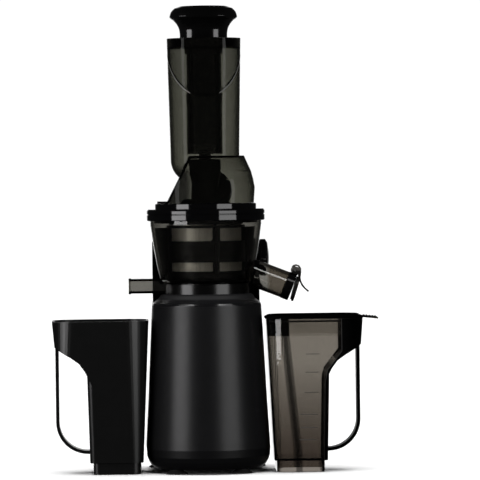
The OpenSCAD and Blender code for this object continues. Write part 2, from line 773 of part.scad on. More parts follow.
chamber_profile = [[52, chamber_z], [53.2, 303], [51.6, 312], [49.2, 321], [42, chamber_top_z]];
chamber_inner_profile = [[49, chamber_z - 1], [50.1, 303], [48.6, 311], [46.4, 319.6], [39.6, chamber_top_z - 3]];

module chamber_block(profile) {
  z1 = profile[len(profile) - 1][1];
  lathe(concat([[0, profile[0][1]]], profile, [[0, z1]]));
}

// Everything to the left of the slanted side of the pressing chamber
module left_of_slope(shift) {
  top = [chamber_slope_top_x + shift, chamber_top_z];
  bottom = [chamber_slope_bottom_x + shift, chamber_z + 1];
  run = (top - bottom) / norm(top - bottom);
  slab_xz(140) polygon([bottom - 20 * run, top + 20 * run, top + [-80, 20], bottom + [-80, -20]]);
}

module hopper_tube(inset) {
  r0 = 36.9 - inset;
  bend = 25 - inset;
  lathe(concat([[0, hopper_z + (inset > 0 ? 1 : 0)], [hopper_r - inset, hopper_z + (inset > 0 ? 1 : 0)],
    [37 - inset, 344], [r0, 333]],
    arc_points([r0 - bend, 333], bend, -8, -84, 8), [[0, 333 - bend]]));
}

// Everything above the slanted edge, or below it
module slanted(above, shift) {
  translate([0, 0, slant_z + shift]) rotate([slant_angle, 0, 0]) translate([-60, -200, above ? 0 : -200])
    cube([120, 300, 200]);
}

// Carries the top of the auger
module pin_boss() {
  translate([0, 0, 329.6]) cylinder(h = 15.4, r = 6.4);
}

module hopper() {
  color([0.2, 0.2, 0.19, 0.6]) difference() {
    union() {
      difference() {
        chamber_block(chamber_profile);
        left_of_slope(0);
      }
      intersection() {
        hopper_tube(0);
        translate([-60, -60, 304]) cube([120, 120, 200]);
        slanted(false, 0);
      }
      translate([0, 0, 286.6]) cylinder(h = 2.4, r = 52);
      pin_boss();
    }
    difference() {
      hopper_tube(hopper_t);
      difference() {
        chamber_block(chamber_profile);
        left_of_slope(0);
      }
      pin_boss();
    }
    difference() {
      chamber_block(chamber_inner_profile);
      left_of_slope(3.4);
      pin_boss();
    }
    // Seat for the cap, at the rear
    intersection() {
      hopper_tube(2.4);
      translate([-60, -60, insert_z]) cube([120, 120, 20]);
    }
    translate([0, 0, 280]) cylinder(h = 12, r = 40);
    // Way for the food, through the slanted side and the top
    intersection() {
      translate([-50, -22, 300]) cube([42, 44, 46]);
      hopper_tube(hopper_t);
    }
    translate([0, 0, 325]) cylinder(h = 19, r = 4.6);
  }
}

module pin_bush() {
  color([0.7, 0.72, 0.75]) translate([0, 0, 331]) ring(4.6, 3 + fit, 12.6);
}

// Feed insert and pusher
module feed_cap() {
  color([0.04, 0.04, 0.045]) translate([0, 0, insert_z]) {
    ring(36.8, tube_r + fit, hopper_z - insert_z - 0.2);
    translate([0, 0, 446 - insert_z]) ring(tube_r + 1.9, tube_r + fit, insert_z - 446 + eps);
  }
}

module guide_tube() {
  color([0.1, 0.1, 0.1, 0.85]) difference() {
    union() {
      translate([0, 0, tube_bottom_z]) cylinder(h = hopper_z - tube_bottom_z - 0.4, r = tube_r);
      translate([0, 0, 394]) cylinder(h = 10, r = tube_r + 0.7);
      translate([0, 0, tube_bottom_z]) cylinder(h = 56, r = tube_r + 0.3);
    }
    translate([0, 0, tube_bottom_z - 1]) cylinder(h = 200, r = tube_bore_r);
  }
}

// Carries the hopper's wall on up to the mouth, above the slanted edge
module feed_guard() {
  color([0.3, 0.3, 0.28, 0.5]) intersection() {
    difference() {
      hopper_tube(0);
      difference() {
        hopper_tube(2.4);
        translate([0, 0, insert_z - 2]) ring(60, 34, 2);
      }
    }
    slanted(true, gap);
  }
}

module pusher_knob() {
  color([0.03, 0.03, 0.035]) lathe([[0, 497.7], [14, 497.5], [knob_r - 10.7, 496.9], [knob_r - 5.1, 494.8],
    [knob_r - 3, 492.8], [knob_r - 1.5, 490.8], [knob_r - 0.7, 488.7], [knob_r, 485.8], [knob_r - 0.4, 484.6],
    [knob_r - 2, 483.2], [knob_r - 4, 481.9], [knob_r - 6, 479.8], [knob_r - 7.7, 477.7], [knob_r - 9.5, 474.6],
    [knob_r - 10.4, 471.6], [knob_r - 10.9, 468], [knob_r - 11, knob_z], [12.5, knob_z], [12.5, 480], [0, 480]]);
}

module pusher_stem() {
  r = tube_bore_r - stem_gap;
  color([0.05, 0.05, 0.055]) difference() {
    union() {
      translate([0, 0, 350]) cylinder(h = knob_z - 350, r = r);
      translate([0, 0, knob_z - eps]) cylinder(h = 17, r = 12.5);
    }
    translate([0, 0, 354]) cylinder(h = 130, r = 10.6);
  }
}

// Vessels: both are drawn on the right, and the container is the mirror image.
// near is the corner radius towards the base, far the one towards the handle
module vessel_block(x0, x1, z, h, depth, near, far) {
  for (y = [-1, 1]) {
    translate([x0 + near, y * (depth / 2 - near), z]) cylinder(h = h, r = near, $fn = 48);
    translate([x1 - far, y * (depth / 2 - far), z]) cylinder(h = h, r = far, $fn = 48);
  }
}

// Outline of the wing that carries the handle, with the way inwards at each point
wing_outline = [[100, vessel_z], [165.6, vessel_z], [163, 135], [155.7, 130], [145.6, 124], [137.2, 118],
  [131, 109.5], [122.3, 92], [100, 92]];
wing_inwards = [[0, 0], [-1, 0], [-1, 0.7], [-0.57, 0.82], [-0.58, 0.81], [-0.7, 0.7], [-0.85, 0.5], [-0.9, 0.9],
  [0, 0.9]];

module vessel_outer(inset) {
  top = vessel_z + (inset > 0 ? 1 : 0);
  low_depth = vessel_depth - 8 - 2 * inset;
  top_depth = vessel_depth - 2 * inset;
  hull() {
    vessel_block(69.6 + inset, 126.4 - inset, 12 + inset, 1, low_depth, foot_corner_r + 3 - inset,
      edge_corner_r - inset);
    vessel_block(62.6 + inset, 130 - inset, top - 1, 1, top_depth, rim_corner_r - inset, edge_corner_r - inset);
  }
  intersection() {
    hull() {
      vessel_block(100, 163 - inset, 12 + inset, 1, low_depth, edge_corner_r - inset, foot_corner_r + 3 - inset);
      vessel_block(100, 165.6 - inset, top - 1, 1, top_depth, edge_corner_r - inset, rim_corner_r - inset);
    }
    slab_xz(200) polygon([for (i = [0:len(wing_outline) - 1])
      wing_outline[i] + inset * wing_inwards[i] + [0, i < 2 && inset > 0 ? 1 : 0]]);
  }
}

module vessel_foot(inset) {
  hull() vessel_block(72.1 + inset, 122.9 - inset, -eps * inset, 13 - inset / 2, vessel_depth - 14 - 2 * inset,
    foot_corner_r - inset, edge_corner_r - inset);
}

module vessel_handle() {
  c = [128.5, 54.5];
  slab_xz(24) polygon(concat([[162.5, 134], [162.5, 54.5]], arc_points(c, 34, 0, -90, 12), [[124.6, 20.5], [124.6, 24]],
    arc_points(c, 30.5, -90, 0, 12), [[159, 54.5], [159, 134]]));
}

module vessel() {
  difference() {
    union() {
      vessel_outer(0);
      vessel_foot(0);
      vessel_handle();
    }
    vessel_outer(vessel_t);
    vessel_foot(vessel_t);
  }
}

module pulp_container() {
  color([0.04, 0.04, 0.045]) mirror([1, 0, 0]) vessel();
}

module juice_jug() {
  color([0.3, 0.28, 0.26, 0.6]) vessel();
}

module jug_lid() {
  tab_w = 30;
  color([0.05, 0.05, 0.055]) {
    hull() {
      vessel_block(61.8, 166.2, vessel_z + 0.3, 1.6, vessel_depth + 1.6, rim_corner_r + 0.8, rim_corner_r + 0.8);
      vessel_block(66, 162, vessel_z + 3.4, 0.6, vessel_depth - 8, rim_corner_r - 4, rim_corner_r - 4);
    }
    difference() {
      hull() vessel_block(66.2, 160.8, vessel_z - 18, 19, vessel_depth - 8, rim_corner_r - 4, rim_corner_r - 4);
      hull() vessel_block(68.2, 158.8, vessel_z - 19, 19, vessel_depth - 12, rim_corner_r - 6, rim_corner_r - 6);
      translate([0, 0, 120]) slab_xz(120) polygon([[130, 0], [150, 23.4], [170, 23.4], [170, 0]]);
    }
    // The tab droops a little, and has ribs across it
    translate([0, 0, vessel_z]) {
      slab_xz(tab_w) polygon([[160, 0.3], [166.4, 0.3], [182.7, -1.5], [182.7, 0.2], [166.4, 2], [160, 2]]);
      for (k = [0:4]) translate([167.4 + 3.1 * k, 0, 1.7 - 0.34 * k]) slab_xz(tab_w - 4)
        polygon([[0, 0], [1.6, 0], [1.2, 1.1], [0.4, 1.1]]);
    }
  }
}

module jug_lid_seal() {
  color([0.4, 0.4, 0.4]) difference() {
    hull() vessel_block(65.6, 161.6, vessel_z - 3.4, 2, vessel_depth - 6.6, rim_corner_r - 3.2, rim_corner_r - 3.2);
    hull() vessel_block(66.2, 160.8, vessel_z - 4, 4, vessel_depth - 8, rim_corner_r - 4, rim_corner_r - 4);
  }
}

body_shell();
rear_cover();
bottom_pan();
dock_ring();
suction_feet();
foot_screws();
pan_screws();
motor_bell_lower();
motor_bell_upper();
motor_bolts();
stator_core();
stator_windings();
motor_bearings();
rotor_core();
motor_shaft();
motor_pinion();
cooling_fan();
gearbox_case();
gearbox_cover();
gearbox_screws();
layshaft();
layshaft_gear();
layshaft_bushes();
drive_shaft();
output_gear();
output_bearing();
shaft_seal();
control_board();
run_capacitor();
selector_switch();
cord_gland();
control_dial();
bowl();
bowl_seal();
pulp_plug();
spout_ring();
cap_pin();
spout_cap();
cap_gasket();
strainer_frame();
strainer_mesh();
wiper_pinion();
wiper_ring();
wiper_blades();
auger();
auger_hub();
auger_pin();
lid_ring();
lid_seal();
hopper();
pin_bush();
feed_cap();
guide_tube();
feed_guard();
pusher_knob();
pusher_stem();
pulp_container();
juice_jug();
jug_lid();
jug_lid_seal();
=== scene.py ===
import bpy
import bmesh
import math
from mathutils import Matrix, Vector


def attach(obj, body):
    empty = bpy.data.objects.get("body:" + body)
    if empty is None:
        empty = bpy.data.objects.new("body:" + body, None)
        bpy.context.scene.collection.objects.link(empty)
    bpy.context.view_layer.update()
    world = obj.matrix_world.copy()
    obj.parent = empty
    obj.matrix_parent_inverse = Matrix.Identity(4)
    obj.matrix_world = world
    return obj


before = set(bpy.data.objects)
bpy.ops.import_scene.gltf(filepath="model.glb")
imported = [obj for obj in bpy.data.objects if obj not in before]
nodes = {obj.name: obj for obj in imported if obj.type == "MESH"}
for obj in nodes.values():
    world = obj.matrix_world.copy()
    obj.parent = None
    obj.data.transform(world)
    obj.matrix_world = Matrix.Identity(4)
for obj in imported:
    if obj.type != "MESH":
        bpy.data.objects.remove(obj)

scene = bpy.context.scene
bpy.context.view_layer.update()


# Node trees

class Nodes:
    """A node tree being built, with short names for its nodes."""

    def __init__(self, tree):
        self.tree = tree
        tree.nodes.clear()

    def give(self, entry, value):
        """Set an input to a number or colour, or link another node's output to it."""
        if isinstance(value, bpy.types.NodeSocket):
            self.tree.links.new(value, entry)
        elif entry.type == "RGBA":
            entry.default_value = (*value, 1)
        else:
            entry.default_value = value

    def feed(self, node, **inputs):
        """Set or link inputs of a node; an underscore stands for a space in an input's name."""
        for name, value in inputs.items():
            self.give(node.inputs[name.replace("_", " ")], value)

    def add(self, kind, **inputs):
        """A new node of this kind, with these inputs."""
        node = self.tree.nodes.new("ShaderNode" + kind)
        self.feed(node, **inputs)
        return node

    def ranged(self, value, low, high, over=(0, 1), smooth=False):
        """A number from low to high, as the value goes over this pair of limits."""
        node = self.add("MapRange", Value=value, From_Min=over[0], From_Max=over[1], To_Min=low, To_Max=high)
        if smooth:
            node.interpolation_type = "SMOOTHSTEP"
        return node.outputs["Result"]

    def calculated(self, operation, first, second=0):
        """The result of a sum or another operation on one or two numbers."""
        node = self.add("Math")
        node.operation = operation
        self.give(node.inputs[0], first)
        self.give(node.inputs[1], second)
        return node.outputs[0]

    def mixed(self, share, first, second, blend="MIX"):
        """A colour between two others, or their product with the blend MULTIPLY."""
        node = self.add("Mix")
        node.data_type = "RGBA"
        node.blend_type = blend
        self.feed(node, Factor=share, A=first, B=second)
        return node.outputs["Result"]


class Shader(Nodes):
    """A material being built round one Principled surface."""

    def __init__(self, name):
        self.material = bpy.data.materials.new(name)
        self.material.use_nodes = True
        super().__init__(self.material.node_tree)
        self.output = self.add("OutputMaterial")
        self.surface = self.add("BsdfPrincipled")
        self.feed(self.output, Surface=self.surface.outputs[0])
        self.place = self.add("TexCoord").outputs["Object"]

    def set(self, **inputs):
        """Set or link inputs of the surface."""
        self.feed(self.surface, **inputs)

    def stretched(self, x, y, z):
        """Places on the object, scaled along each axis."""
        return self.add("Mapping", Vector=self.place, Scale=(x, y, z)).outputs["Vector"]

    def axes(self):
        """Distance along X and height, in metres."""
        apart = self.add("SeparateXYZ", Vector=self.place)
        return apart.outputs["X"], apart.outputs["Z"]

    def noise(self, scale, detail=2, rough=0.5, at=None):
        """Noise over the object, or over stretched places."""
        noise = self.add("TexNoise", Scale=scale, Detail=detail, Roughness=rough, Vector=at or self.place)
        return noise.outputs["Fac"]

    def relief(self, pattern, strength, distance, edge_radius=None):
        """Fine relief in the surface, over edges rounded by this radius where one is given."""
        bump = self.add("Bump", Height=pattern, Strength=strength, Distance=distance)
        if edge_radius:
            bevel = self.add("Bevel", Radius=edge_radius)
            bevel.samples = 4
            self.feed(bump, Normal=bevel.outputs["Normal"])
        self.set(Normal=bump.outputs["Normal"])


# Materials, with places on the object in metres

def textured_black():
    """Satin black moulding with a fine spark-eroded grain, polished on the shoulder and dull above it."""
    look = Shader("black_textured_plastic")
    _, height = look.axes()
    polish_starts = look.ranged(height, 0, -0.2, over=(0.1774, 0.178))
    polish_stays = look.ranged(height, 1, 0, over=(0.1802, 0.1808))
    dull_neck = look.ranged(height, 0, 0.3, over=(0.1838, 0.1844))
    change = look.calculated("ADD", look.calculated("MULTIPLY", polish_starts, polish_stays), dull_neck)
    look.set(
        IOR=1.5,
        Specular_IOR_Level=0.32,
        Base_Color=look.mixed(look.noise(35, detail=3), (0.006, 0.006, 0.0066), (0.0085, 0.0085, 0.0092)),
        Roughness=look.calculated("ADD", look.ranged(look.noise(120, detail=4), 0.31, 0.36), change),
    )
    look.relief(look.noise(2600, detail=3, rough=0.6), strength=0.12, distance=0.00012, edge_radius=0.0007)
    return look.material


def gloss_black():
    """Polished black moulding, with faint wipe marks."""
    look = Shader("black_gloss_plastic")
    wipes = look.noise(90, detail=4, rough=0.6, at=look.stretched(1, 1, 0.25))
    look.set(
        IOR=1.5,
        Base_Color=look.mixed(look.noise(60), (0.0025, 0.0025, 0.003), (0.004, 0.004, 0.0046)),
        Roughness=look.ranged(wipes, 0.035, 0.085),
    )
    look.relief(look.noise(70), strength=0.05, distance=0.0004, edge_radius=0.0005)
    return look.material


def satin_plastic(name, dark, light, rough, specular=0.5):
    """Moulding with a fine even grain, between two shades."""
    look = Shader(name)
    look.set(
        IOR=1.5,
        Specular_IOR_Level=specular,
        Base_Color=look.mixed(look.noise(45, detail=3), dark, light),
        Roughness=look.ranged(look.noise(200, detail=3), rough - 0.03, rough + 0.03),
    )
    look.relief(look.noise(1500), strength=0.06, distance=0.0001, edge_radius=0.0005)
    return look.material


def flap_plastic():
    """Dark flap with a greyer lever above it."""
    look = Shader("flap_plastic")
    _, height = look.axes()
    lever = look.ranged(height, 0, 1, over=(0.2125, 0.2145))
    look.set(
        IOR=1.5,
        Base_Color=look.mixed(lever, (0.012, 0.0115, 0.011), (0.15, 0.142, 0.13)),
        Roughness=look.ranged(look.noise(200, detail=3), 0.2, 0.28),
    )
    look.relief(look.noise(1500), strength=0.06, distance=0.0001, edge_radius=0.0004)
    return look.material


def faintly_mottled(look):
    """Nearly white, as the colour of a clear surface."""
    return look.mixed(look.noise(40), (0.985, 0.985, 0.98), (1, 1, 1))


def smoky(name, absorbed):
    """Clear moulding, tinted through its depth; absorbed is per metre in red, green and blue."""
    look = Shader(name)
    look.set(
        IOR=1.49,
        Transmission_Weight=1,
        Base_Color=faintly_mottled(look),
        Roughness=look.ranged(look.noise(110, detail=3), 0.012, 0.0264),
    )
    look.relief(look.noise(55, rough=0.4), strength=0.12, distance=0.0005)
    # The density is above the strongest absorption, so that no part of the colour is zero
    density = max(absorbed) * 1.25
    colour = tuple(1 - share / density for share in absorbed)
    volume = look.add("VolumeAbsorption", Density=density, Color=colour)
    look.feed(look.output, Volume=volume.outputs[0])
    return look


def black_where_not(look, clear, tint, specular, black_rough, clear_rough):
    """The surface is clear and tinted where clear is 1, and solid black where it is 0."""
    look.set(
        Specular_IOR_Level=specular,
        Transmission_Weight=clear,
        Base_Color=look.mixed(clear, (0.006, 0.006, 0.006), tint),
        Roughness=look.ranged(clear, black_rough, clear_rough),
    )


def bowl_moulding():
    """Clear smoky moulding, browner in the juice spout."""
    look = smoky("smoky_bowl", (350, 356, 376))
    x, _ = look.axes()
    spout = look.ranged(x, 0, 1, over=(0.064, 0.068))
    look.set(Base_Color=look.mixed(spout, (0.99, 0.99, 0.985), (0.72, 0.68, 0.63)))
    return look.material


def hopper_moulding():
    """Clear smoky moulding, with painted shade that darkens the slanted left side of the pressing chamber."""
    look = smoky("smoky_hopper", (385, 385, 420))
    x, height = look.axes()
    left_side = look.ranged(x, 1, 0, over=(-0.021, -0.013))
    below_tube = look.ranged(height, 1, 0, over=(0.318, 0.326))
    # Painted shade: below the tube, the slanted left side of the chamber is tinted darker than the rest of
    # the wall
    painted_slope_shade = look.calculated("MULTIPLY", left_side, below_tube)
    look.set(Base_Color=look.mixed(painted_slope_shade, (0.99, 0.99, 0.985), (0.42, 0.42, 0.43)))
    return look.material


def jug_moulding():
    """Clear towards the base unit, darker and browner towards the foot, with painted shade: solid black along
    the handle and a dark band at the corner beside the flat front.
    """
    look = smoky("smoky_jug", (340, 362, 395))
    x, height = look.axes()
    # Painted shade along the handle, where the clear wall would show the dark room: the black begins further
    # out towards the rim, in three straight stretches
    edge = look.calculated("ADD", look.ranged(height, 0.1218, 0.124, over=(0, 0.095)),
                           look.ranged(height, 0, 0.0025, over=(0.095, 0.108)))
    edge = look.calculated("ADD", edge, look.ranged(height, 0, 0.0155, over=(0.108, 0.128)))
    clear = look.ranged(look.calculated("SUBTRACT", x, edge), 1, 0, over=(-0.0003, 0.0003))
    depth = look.ranged(height, 0, 1, over=(0.022, 0.115))
    tint = look.mixed(depth, (0.5, 0.47, 0.45), (0.99, 0.99, 0.985))
    # Painted shade: a dark band stands in for the shade that the curved corner beside the flat front shows,
    # and it leans towards the base unit
    corner = look.ranged(height, 0.0957, 0.0812, over=(0.02, 0.165))
    off_corner = look.calculated("ABSOLUTE", look.calculated("SUBTRACT", x, corner))
    painted_corner_shade = look.mixed(look.ranged(off_corner, 1, 0, over=(0.0025, 0.0042)), (1, 1, 1), (0.34, 0.34, 0.34))
    shade = look.mixed(1, tint, painted_corner_shade, blend="MULTIPLY")
    # The solid black and the dark corner band are painted shade, not colours of the moulding
    black_where_not(look, clear, shade, specular=0.15, black_rough=0.45, clear_rough=0.018)
    return look.material


def jug_lid_moulding():
    """A clear skirt below a black top, with a black spout end."""
    look = smoky("smoky_lid", (110, 116, 125))
    x, height = look.axes()
    below_top = look.ranged(height, 1, 0, over=(0.1625, 0.1629))
    past_spout = look.ranged(x, 0, 1, over=(0.0862, 0.0866))
    clear = look.calculated("MULTIPLY", below_top, past_spout)
    black_where_not(look, clear, faintly_mottled(look), specular=0, black_rough=0.4, clear_rough=0.02)
    return look.material


def brushed_steel():
    """Steel with fine lines round its upright sides."""
    look = Shader("brushed_steel")
    lines = look.noise(160, detail=4, rough=0.7, at=look.stretched(1, 1, 40))
    look.set(
        Metallic=1,
        Base_Color=look.mixed(lines, (0.4816, 0.473, 0.4644), (0.56, 0.55, 0.54)),
        Roughness=look.ranged(lines, 0.22, 0.36),
    )
    look.relief(lines, strength=0.1, distance=0.0001)
    return look.material


def perforated_steel():
    """Thin strainer sheet with rows of fine holes."""
    look = Shader("perforated_steel")
    holes = look.add("TexVoronoi", Scale=1100, Randomness=0.15, Vector=look.place)
    hole = look.ranged(holes.outputs["Distance"], 1, 0, over=(0.22, 0.34))
    streaks = look.noise(60, detail=3, rough=0.6, at=look.stretched(1, 1, 0.05))
    look.set(
        Metallic=0.75,
        Base_Color=look.mixed(hole, (0.9, 0.87, 0.79), (0.27, 0.26, 0.235)),
        Roughness=look.ranged(streaks, 0.4, 0.6),
    )
    look.relief(streaks, strength=0.3, distance=0.0006)
    return look.material


def rubber(name, tone, rough=0.65):
    """Dull soft moulding, mottled a little round its tone."""
    look = Shader(name)
    darker = tuple(0.8 * c for c in tone)
    lighter = tuple(1.15 * c for c in tone)
    look.set(
        Base_Color=look.mixed(look.noise(80, detail=3), darker, lighter),
        Roughness=look.ranged(look.noise(300, detail=3), rough - 0.06, rough + 0.08),
    )
    look.relief(look.noise(1800), strength=0.15, distance=0.0002)
    return look.material


def pale_nylon():
    """Off-white moulding that lets a little light in."""
    look = Shader("white_nylon")
    look.set(
        Subsurface_Weight=0.1,
        Base_Color=look.mixed(look.noise(70, detail=3), (0.6, 0.58, 0.52), (0.7, 0.68, 0.62)),
        Roughness=look.ranged(look.noise(200, detail=3), 0.38, 0.5),
    )
    look.relief(look.noise(900), strength=0.1, distance=0.0002)
    return look.material


def cast_alloy():
    """Rough grey metal as it leaves the mould."""
    look = Shader("cast_alloy")
    look.set(
        Metallic=1,
        Base_Color=look.mixed(look.noise(150, detail=4), (0.4, 0.4, 0.41), (0.52, 0.52, 0.53)),
        Roughness=look.ranged(look.noise(260, detail=4), 0.45, 0.6),
    )
    look.relief(look.noise(900, detail=4), strength=0.4, distance=0.0004)
    return look.material


def laminated_iron():
    """Iron core made of thin sheets, one above the other."""
    look = Shader("laminated_iron")
    sheets = look.add("TexWave", Scale=320, Vector=look.place)
    sheets.bands_direction = "Z"
    look.set(
        Metallic=0.7,
        Base_Color=look.mixed(sheets.outputs["Fac"], (0.1, 0.1, 0.11), (0.2, 0.2, 0.21)),
        Roughness=look.ranged(look.noise(150, detail=3), 0.45, 0.6),
    )
    look.relief(sheets.outputs["Fac"], strength=0.4, distance=0.0004)
    return look.material


def copper_wire():
    """Enamelled wire wound round the upright axis."""
    look = Shader("enamelled_copper")
    turns = look.add("TexWave", Scale=500, Distortion=2, Vector=look.place)
    turns.wave_type = "RINGS"
    turns.rings_direction = "Z"
    look.set(
        Metallic=0.8,
        Coat_Weight=0.6,
        Coat_Roughness=0.2,
        Base_Color=look.mixed(turns.outputs["Fac"], (0.25, 0.09, 0.04), (0.5, 0.2, 0.09)),
        Roughness=look.ranged(look.noise(150, detail=3), 0.3, 0.4),
    )
    look.relief(turns.outputs["Fac"], strength=0.6, distance=0.0005)
    return look.material


def board_green():
    """Varnished circuit board with paler lines."""
    look = Shader("circuit_board")
    tracks = look.add("TexVoronoi")
    tracks.feature = "DISTANCE_TO_EDGE"
    look.feed(tracks, Scale=160, Vector=look.place)
    line = look.ranged(tracks.outputs["Distance"], 1, 0, over=(0.02, 0.06))
    look.set(
        Coat_Weight=0.4,
        Coat_Roughness=0.1,
        Base_Color=look.mixed(line, (0.012, 0.09, 0.04), (0.04, 0.16, 0.07)),
        Roughness=look.ranged(look.noise(200), 0.3, 0.42),
    )
    look.relief(line, strength=0.3, distance=0.0001)
    return look.material


def dress(material, *names):
    """Give these nodes this material and no other."""
    for name in names:
        mesh = nodes[name].data
        mesh.materials.clear()
        mesh.materials.append(material)


dress(textured_black(), "body_shell", "rear_cover", "bottom_pan", "selector_switch")
dress(gloss_black(), "control_dial", "spout_ring", "lid_ring", "feed_cap", "cooling_fan")
dress(satin_plastic("auger_plastic", (0.004, 0.004, 0.004), (0.007, 0.007, 0.007), rough=0.4, specular=0.2),
      "auger", "strainer_frame", "pusher_stem", "wiper_ring")
dress(satin_plastic("black_satin_plastic", (0.006, 0.006, 0.006), (0.0085, 0.0085, 0.0085), rough=0.3),
      "pulp_container")
dress(satin_plastic("dock_plastic", (0.003, 0.003, 0.003), (0.005, 0.005, 0.005), rough=0.2, specular=0.4),
      "dock_ring")
dress(satin_plastic("knob_plastic", (0.004, 0.004, 0.004), (0.006, 0.006, 0.006), rough=0.12), "pusher_knob")
dress(hopper_moulding(), "hopper")
dress(smoky("smoky_guard", (560, 560, 600)).material, "feed_guard")
dress(bowl_moulding(), "bowl")
dress(flap_plastic(), "spout_cap")
dress(jug_moulding(), "juice_jug")
dress(jug_lid_moulding(), "jug_lid")
dress(smoky("smoky_tube", (600, 600, 620)).material, "guide_tube")
dress(brushed_steel(), "foot_screws", "pan_screws", "motor_bolts", "motor_bearings", "motor_shaft",
      "motor_pinion", "gearbox_screws", "layshaft", "drive_shaft", "output_bearing", "cap_pin", "auger_hub",
      "auger_pin")
dress(perforated_steel(), "strainer_mesh")
dress(rubber("black_rubber", (0.012, 0.012, 0.012)),
      "suction_feet", "shaft_seal", "cord_gland", "wiper_blades")
dress(rubber("grey_silicone", (0.05, 0.05, 0.05), rough=0.5),
      "bowl_seal", "pulp_plug", "cap_gasket", "lid_seal", "jug_lid_seal")
dress(pale_nylon(), "gearbox_case", "gearbox_cover", "layshaft_gear", "output_gear", "wiper_pinion",
      "pin_bush", "run_capacitor")
dress(cast_alloy(), "motor_bell_lower", "motor_bell_upper")
dress(laminated_iron(), "stator_core", "rotor_core")
dress(copper_wire(), "stator_windings", "layshaft_bushes")
dress(board_green(), "control_board")


# Help for thin raised strips that are pieces of their own

def surface_place(node, start, direction):
    """Where a line from this place first meets the node."""
    inverse = node.matrix_world.inverted()
    place = node.ray_cast(inverse @ start, inverse.to_3x3() @ direction)[1]
    return node.matrix_world @ place


def closed_strip(name, sections, material):
    """A solid strip through sections of four corners each."""
    mesh = bmesh.new()
    rings = [[mesh.verts.new(corner) for corner in section] for section in sections]
    for first, second in zip(rings, rings[1:]):
        for k in range(4):
            mesh.faces.new((first[k], first[(k + 1) % 4], second[(k + 1) % 4], second[k]))
    mesh.faces.new(rings[0][::-1])
    mesh.faces.new(rings[-1])
    bmesh.ops.recalc_face_normals(mesh, faces=mesh.faces)
    data = bpy.data.meshes.new(name)
    mesh.to_mesh(data)
    mesh.free()
    data.materials.append(material)
    strip = bpy.data.objects.new(name, data)
    scene.collection.objects.link(strip)
    return strip


def box_section(outer, inner, half):
    """Corners of a section, as how far out they are and how high above its middle."""
    return (outer, -half), (outer, half), (inner, half), (inner, -half)


# Measuring marks, raised lines on the jug's flat front. Each has its height and start, in metres

marks = ((0.1254, 0.104), (0.1061, 0.103), (0.0847, 0.102), (0.0612, 0.096), (0.0473, 0.098), (0.0345, 0.096))
mark_end_at_foot = 0.113
mark_end_lean = 0.042
mark_raised = 0.00025
mark_sunk = 0.0003
mark_half_width = 0.0003
mark_steps = 8
in_front_of_jug = -0.2
mark_grey = satin_plastic("mark_plastic", (0.1, 0.095, 0.09), (0.13, 0.125, 0.12), rough=0.45)


def measuring_mark(height, start):
    """A level line along X that ends near the painted shade along the jug's handle, whose edge leans
    outwards.
    """
    end = mark_end_at_foot + height * mark_end_lean
    sections = []
    for i in range(mark_steps + 1):
        x = start + (end - start) * i / mark_steps
        wall = surface_place(nodes["juice_jug"], Vector((x, in_front_of_jug, height)), Vector((0, 1, 0))).y
        corners = box_section(wall - mark_raised, wall + mark_sunk, mark_half_width)
        sections.append([(x, y, height + up) for y, up in corners])
    mark = closed_strip("measuring_mark", sections, mark_grey)
    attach(mark, "jug")


for height, start in marks:
    measuring_mark(height, start)


# Bands of painted glint above the slanted edge of the feed guard, in metres, and in degrees away from the
# front

# The edge lies in a plane that meets the upright axis at the slant's height
slant_height = 0.447
slant_angle = math.radians(51.5)
guard_radius = 0.0388
outside_guard = 0.1
band_above_edge = 0.0013
band_from = 24
band_to = 86
band_steps = 24
band_least_half = 0.0002
band_swell = 0.0006
band_taper = 0.08
band_raised = 0.0001
band_sunk = 0.0002
# Light grey painted glint, standing in for the light that the clear guard's slanted edge catches
painted_glint_grey = satin_plastic("painted_edge_glint", (0.3, 0.3, 0.285), (0.4, 0.4, 0.38), rough=0.45)


def painted_glint_band(side):
    """A strip of painted glint on the guard's outer face, light grey where the clear guard's edge catches the
    light, widest in its middle; side is -1 on the left and 1 on the right.
    """
    sections = []
    for i in range(band_steps + 1):
        turn = math.radians(band_from + (band_to - band_from) * i / band_steps)
        outwards = Vector((side * math.sin(turn), -math.cos(turn), 0))
        height = slant_height + math.tan(slant_angle) * outwards.y * guard_radius + band_above_edge
        start = outwards * outside_guard + Vector((0, 0, height))
        radius = surface_place(nodes["feed_guard"], start, -outwards).xy.length
        bulge = math.sin(math.pi * (band_taper + (1 - 2 * band_taper) * i / band_steps))
        corners = box_section(radius + band_raised, radius - band_sunk, band_swell * bulge + band_least_half)
        sections.append([outwards * out + Vector((0, 0, height + up)) for out, up in corners])
    band = closed_strip("painted_glint_band", sections, painted_glint_grey)
    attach(band, "insert")


for side in (-1, 1):
    painted_glint_band(side)


# Floor

def pale_floor():
    """A pale floor for the camera only, which the object neither mirrors nor shows through itself."""
    bpy.ops.mesh.primitive_plane_add(size=14, location=(0, 2.5, -0.0005))
    floor = bpy.context.object
    floor.name = "floor"
    look = Shader("pale_floor")
    look.set(Roughness=0.9, Base_Color=look.mixed(look.noise(3), (0.9, 0.9, 0.9), (0.93, 0.93, 0.93)))
    floor.data.materials.append(look.material)
    floor.visible_glossy = False
    floor.visible_transmission = False
    floor.visible_diffuse = False
    return floor


floor = pale_floor()


# Lights

def lit_only(light, objects, all_but=False):
    """The light falls on these objects and on nothing else, or on all but these."""
    group = bpy.data.collections.new(light.name + "_receivers")
    for item in objects:
        group.objects.link(item)
    if all_but:
        for member in group.collection_objects:
            member.light_linking.link_state = "EXCLUDE"
    light.light_linking.receiver_collection = group


